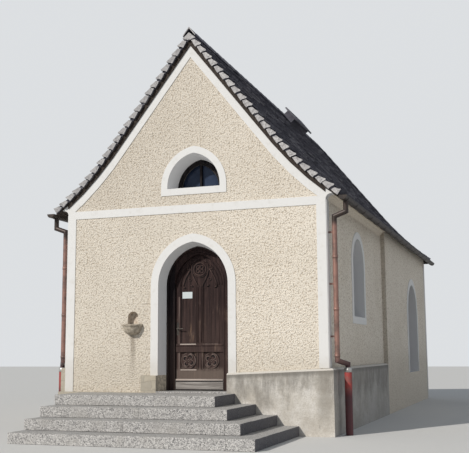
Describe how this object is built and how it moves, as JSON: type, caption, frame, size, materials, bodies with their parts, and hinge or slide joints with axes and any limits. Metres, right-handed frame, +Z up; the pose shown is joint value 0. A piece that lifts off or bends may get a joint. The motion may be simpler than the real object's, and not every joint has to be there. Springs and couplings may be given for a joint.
{
  "type": "small chapel",
  "caption": "Small rendered chapel with a steep bell-cast slate roof, hipped behind, an arched front door that opens, a lunette window and granite steps.",
  "frame": {"origin": "on the ground at the middle of the facade, in the facade's plane", "axes": "+Z up, +Y back along the nave, +X to the right seen from the front; the facade faces -Y"},
  "size_m": [5.56, 14.24, 7.1172],
  "materials": {
    "roughcast": "cream roughcast plaster",
    "white_plaster": "smooth white painted plaster",
    "plinth_render": "weathered cement render with stains",
    "granite": "speckled rough granite",
    "slate": "thick rough stone slates",
    "deck_wood": "dark weathered boards",
    "door_wood": "dark brown varnished oak",
    "weather_wood": "worn lighter oak",
    "window_wood": "dark brown painted wood",
    "glass": "plain glass",
    "iron": "dark wrought iron",
    "copper_pipe": "brown weathered copper",
    "gutter_metal": "dark brown sheet metal",
    "red_pipe": "faded red painted cast iron",
    "floor_stone": "stone flags",
    "stoup_stone": "weathered grey stone"
  },
  "bodies": {
    "building": {"front_wall_left": "roughcast", "front_wall_right": "roughcast", "front_wall_over_door": "roughcast", "front_gable": "roughcast", "nave_wall_right": "roughcast", "nave_wall_left": "roughcast", "choir_wall_right": "roughcast", "choir_wall_left": "roughcast", "rear_wall": "roughcast", "floor_slab": "floor_stone", "threshold": "granite", "plinth_front_right": "plinth_render", "plinth_front_left": "plinth_render", "plinth_right": "plinth_render", "plinth_left": "plinth_render", "eaves_cove_right": "white_plaster", "eaves_cove_left": "white_plaster", "facade_bands": "white_plaster", "verge_boards": "weather_wood", "corner_bands": "white_plaster", "door_surround": "white_plaster", "lunette_surround": "white_plaster", "side_surrounds": "white_plaster", "roof_deck_right": "deck_wood", "roof_deck_left": "deck_wood", "roof_deck_rear": "deck_wood", "roof_slates_right": "slate", "roof_slates_left": "slate", "roof_slates_rear": "slate", "ridge_cap": "slate", "roof_hatch": "slate", "gutter_right": "gutter_metal", "gutter_left": "gutter_metal", "downpipe_right": "copper_pipe", "downpipe_left": "copper_pipe", "standpipes": "red_pipe", "door_frame": "door_wood", "hinge_pintles": "iron", "window_frames": "window_wood", "window_panes": "glass", "side_door": "door_wood", "step_1": "granite", "step_2": "granite", "step_3": "granite", "step_4": "granite", "stoup": "stoup_stone"},
    "door": {"door_leaf": "door_wood", "weather_board": "weather_wood", "rail_moulding": "weather_wood", "door_handle": "iron", "hinge_knuckles": "iron"}
  },
  "joints": [
    {"name": "front_door_hinge", "type": "hinge", "parent": "building", "child": "door", "pos_m": [0.491, 0.3913, 1.5], "axis": [0, 0, -1], "range_deg": [0, 95]}
  ]
}
